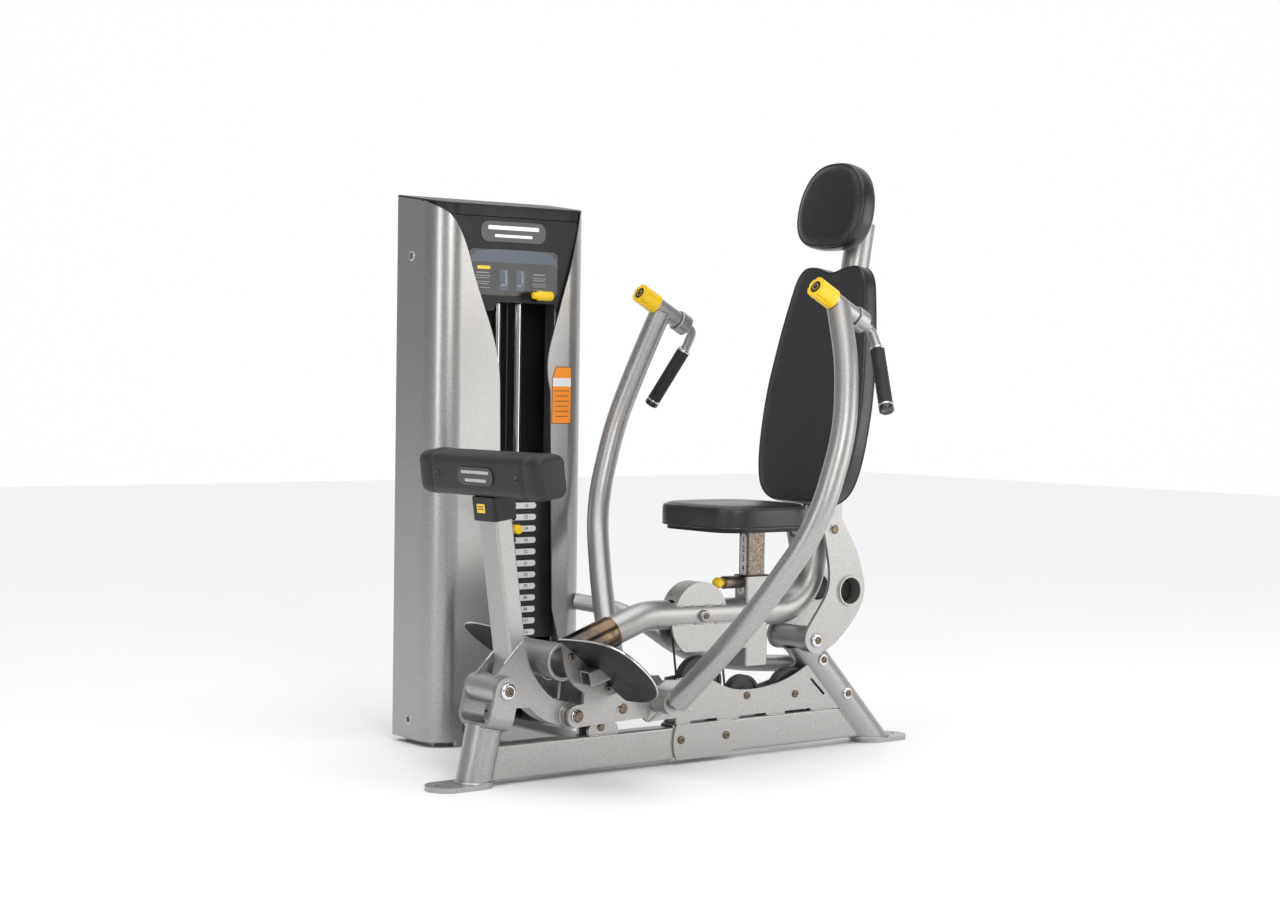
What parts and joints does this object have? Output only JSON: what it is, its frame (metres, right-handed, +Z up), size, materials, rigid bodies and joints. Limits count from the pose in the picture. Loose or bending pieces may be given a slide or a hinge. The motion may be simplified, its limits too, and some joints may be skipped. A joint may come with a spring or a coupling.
{
  "type": "chest press machine",
  "caption": "Selectorised seated chest press with a rocking seat carriage, counterweighted front lever, converging bent press arms, swivelling grips and a shrouded weight tower.",
  "frame": {"origin": "centre of the machine's bounding box, on the floor", "axes": "+Z up, +X from the front foot to the rear foot (the user sits facing -X), +Y from the base rail to the weight tower"},
  "size_m": [1.57, 1.2122, 1.5931],
  "materials": {
    "silver_coat": "metallic silver powder coat, fine sparkle",
    "silver_shroud": "metallic silver powder coat, fine sparkle",
    "black_vinyl": "satin black upholstery vinyl",
    "black_plastic": "matte moulded black",
    "black_rubber": "textured black rubber",
    "yellow_plastic": "gloss safety yellow",
    "plate_black": "black painted iron",
    "steel": "satin steel",
    "post_steel": "speckled grey-bronze plated steel",
    "chrome": "polished chrome",
    "dark_chrome": "dark polished chrome",
    "pulley_nylon": "dark moulded nylon",
    "bolt_bronze": "bronze-tinted plated steel",
    "cable_black": "black jacketed cable"
  },
  "bodies": {
    "frame": {"front_stand": "silver_coat", "rail_front": "silver_coat", "rail_rear": "silver_coat", "pulley_plates": "silver_coat", "rear_stand": "silver_coat", "cross_frame": "silver_coat", "side_brace": "silver_coat", "tower_frame": "silver_coat", "shroud_left": "silver_shroud", "shroud_right": "silver_shroud", "tower_back": "silver_shroud", "tower_cap": "black_plastic", "tower_fascia": "black_plastic", "guide_rods": "chrome", "resting_plates": "plate_black", "stack_bumpers": "black_rubber", "frame_bolts": "bolt_bronze"},
    "lever": {"front_lever": "silver_coat", "lever_pin": "bolt_bronze", "counterweight": "black_plastic", "lever_cover": "black_plastic"},
    "rocker": {"rocker_plate_left": "silver_coat", "rocker_plate_right": "silver_coat", "rocker_pins": "bolt_bronze"},
    "carriage": {"spine": "silver_coat", "spine_sleeve": "dark_chrome", "foot_hub": "silver_coat", "treads": "black_rubber", "link_plates": "silver_coat", "pulley_housing": "silver_coat", "seat_receiver": "silver_coat", "back_pad": "black_vinyl", "pad_brackets": "black_plastic", "head_pad": "black_vinyl", "carriage_bolts": "bolt_bronze", "lift_cable": "cable_black"},
    "carriage_wheel": {"carriage_pulley": "pulley_nylon"},
    "seat": {"seat_post": "post_steel", "seat_plate": "black_plastic", "seat_pad": "black_vinyl"},
    "latch": {"seat_latch": "yellow_plastic"},
    "arms": {"press_arm_left": "silver_coat", "press_arm_right": "silver_coat", "arm_shaft": "steel"},
    "link": {"drag_link": "steel"},
    "handle_l": {"handle_left": "silver_coat", "grip_left": "black_rubber"},
    "handle_r": {"handle_right": "silver_coat", "grip_right": "black_rubber"},
    "knob_l": {"knob_left": "yellow_plastic"},
    "knob_r": {"knob_right": "yellow_plastic"},
    "stack": {"stack_header": "plate_black", "lifted_plates": "plate_black", "stack_cable": "cable_black"},
    "pin": {"selector_pin": "yellow_plastic"},
    "dial": {"addon_knob": "yellow_plastic"},
    "wheel_front": {"base_pulley_front": "pulley_nylon"},
    "wheel_mid": {"base_pulley_mid": "pulley_nylon"},
    "wheel_rear": {"base_pulley_rear": "pulley_nylon"},
    "wheel_top": {"tower_pulley": "pulley_nylon"}
  },
  "joints": [
    {"name": "rocker_pivot", "type": "hinge", "parent": "frame", "child": "rocker", "pos_m": [0.389, -0.11195, 0.302], "axis": [0, 1, 0], "range_deg": [0, 9]},
    {"name": "carriage_pivot", "type": "hinge", "parent": "rocker", "child": "carriage", "pos_m": [0.446, -0.11195, 0.597], "axis": [0, 1, 0], "range_deg": [-4.64, 0], "deforming": ["lift_cable"]},
    {"name": "lever_pivot", "type": "hinge", "parent": "frame", "child": "lever", "pos_m": [-0.605, -0.11195, 0.235], "axis": [0, 1, 0], "range_deg": [-13.84, 0]},
    {"name": "arm_pivot", "type": "hinge", "parent": "carriage", "child": "arms", "pos_m": [-0.127, -0.11195, 0.18], "axis": [0, 1, 0], "range_deg": [-20.95, 0]},
    {"name": "link_pivot", "type": "hinge", "parent": "frame", "child": "link", "pos_m": [-0.289, -0.11195, 0.118], "axis": [0, 1, 0], "range_deg": [0, 7.87]},
    {"name": "stack_lift", "type": "slide", "parent": "frame", "child": "stack", "axis": [0, 0, 1], "range_m": [0, 0.2505], "deforming": ["stack_cable"]},
    {"name": "carriage_wheel_spin", "type": "hinge", "parent": "carriage", "child": "carriage_wheel", "pos_m": [0.029, -0.11195, 0.383], "axis": [0, 1, 0], "range_deg": [0, 183.2]},
    {"name": "wheel_front_spin", "type": "hinge", "parent": "frame", "child": "wheel_front", "pos_m": [0.045, -0.11195, 0.205], "axis": [0, 1, 0], "range_deg": [-206.9, 0]},
    {"name": "wheel_mid_spin", "type": "hinge", "parent": "frame", "child": "wheel_mid", "pos_m": [0.193, -0.11195, 0.162], "axis": [0, 1, 0], "range_deg": [-273.86, 0]},
    {"name": "wheel_rear_spin", "type": "hinge", "parent": "frame", "child": "wheel_rear", "pos_m": [0.363, -0.11195, 0.154], "axis": [0, 1, 0], "range_deg": [-203.96, 0]},
    {"name": "wheel_top_spin", "type": "hinge", "parent": "frame", "child": "wheel_top", "pos_m": [-0.169, 0.52425, 1.346], "axis": [1, 0, 0], "range_deg": [-297.68, 0]},
    {"name": "seat_height", "type": "slide", "parent": "carriage", "child": "seat", "axis": [0, 0, 1], "range_m": [-0.1016, 0]},
    {"name": "seat_latch_pull", "type": "slide", "parent": "carriage", "child": "latch", "axis": [-1, 0, 0], "range_m": [0, 0.01], "stiffness_N_per_m": 400},
    {"name": "handle_left_swivel", "type": "hinge", "parent": "arms", "child": "handle_l", "pos_m": [0.167, -0.46895, 1.2], "axis": [0.8832, 0, -0.4691], "range_deg": [-65, 25]},
    {"name": "handle_right_swivel", "type": "hinge", "parent": "arms", "child": "handle_r", "pos_m": [0.167, 0.24505, 1.2], "axis": [0.8832, 0, -0.4691], "range_deg": [-25, 65]},
    {"name": "knob_left_pull", "type": "slide", "parent": "arms", "child": "knob_l", "axis": [-0.8832, 0, 0.4691], "range_m": [0, 0.012], "stiffness_N_per_m": 400},
    {"name": "knob_right_pull", "type": "slide", "parent": "arms", "child": "knob_r", "axis": [-0.8832, 0, 0.4691], "range_m": [0, 0.012], "stiffness_N_per_m": 400},
    {"name": "selector_pin_pull", "type": "slide", "parent": "stack", "child": "pin", "axis": [0, -1, 0], "range_m": [0, 0.12]},
    {"name": "dial_turn", "type": "hinge", "parent": "frame", "child": "dial", "pos_m": [-0.122, 0.38405, 1.216], "axis": [0, 1, 0], "range_deg": [0, 90]}
  ],
  "couplings": [
    {"joint": "carriage_pivot", "follows": "rocker_pivot", "ratio": -0.504},
    {"joint": "lever_pivot", "follows": "rocker_pivot", "ratio": -1.527},
    {"joint": "arm_pivot", "follows": "rocker_pivot", "ratio": -2.317},
    {"joint": "link_pivot", "follows": "rocker_pivot", "ratio": 0.863},
    {"joint": "stack_lift", "follows": "rocker_pivot", "m_per_rad": 1.5916},
    {"joint": "carriage_wheel_spin", "follows": "rocker_pivot", "ratio": 20.3},
    {"joint": "wheel_front_spin", "follows": "rocker_pivot", "ratio": -22.933},
    {"joint": "wheel_mid_spin", "follows": "rocker_pivot", "ratio": -30.373},
    {"joint": "wheel_rear_spin", "follows": "rocker_pivot", "ratio": -22.607},
    {"joint": "wheel_top_spin", "follows": "rocker_pivot", "ratio": -33.02}
  ]
}
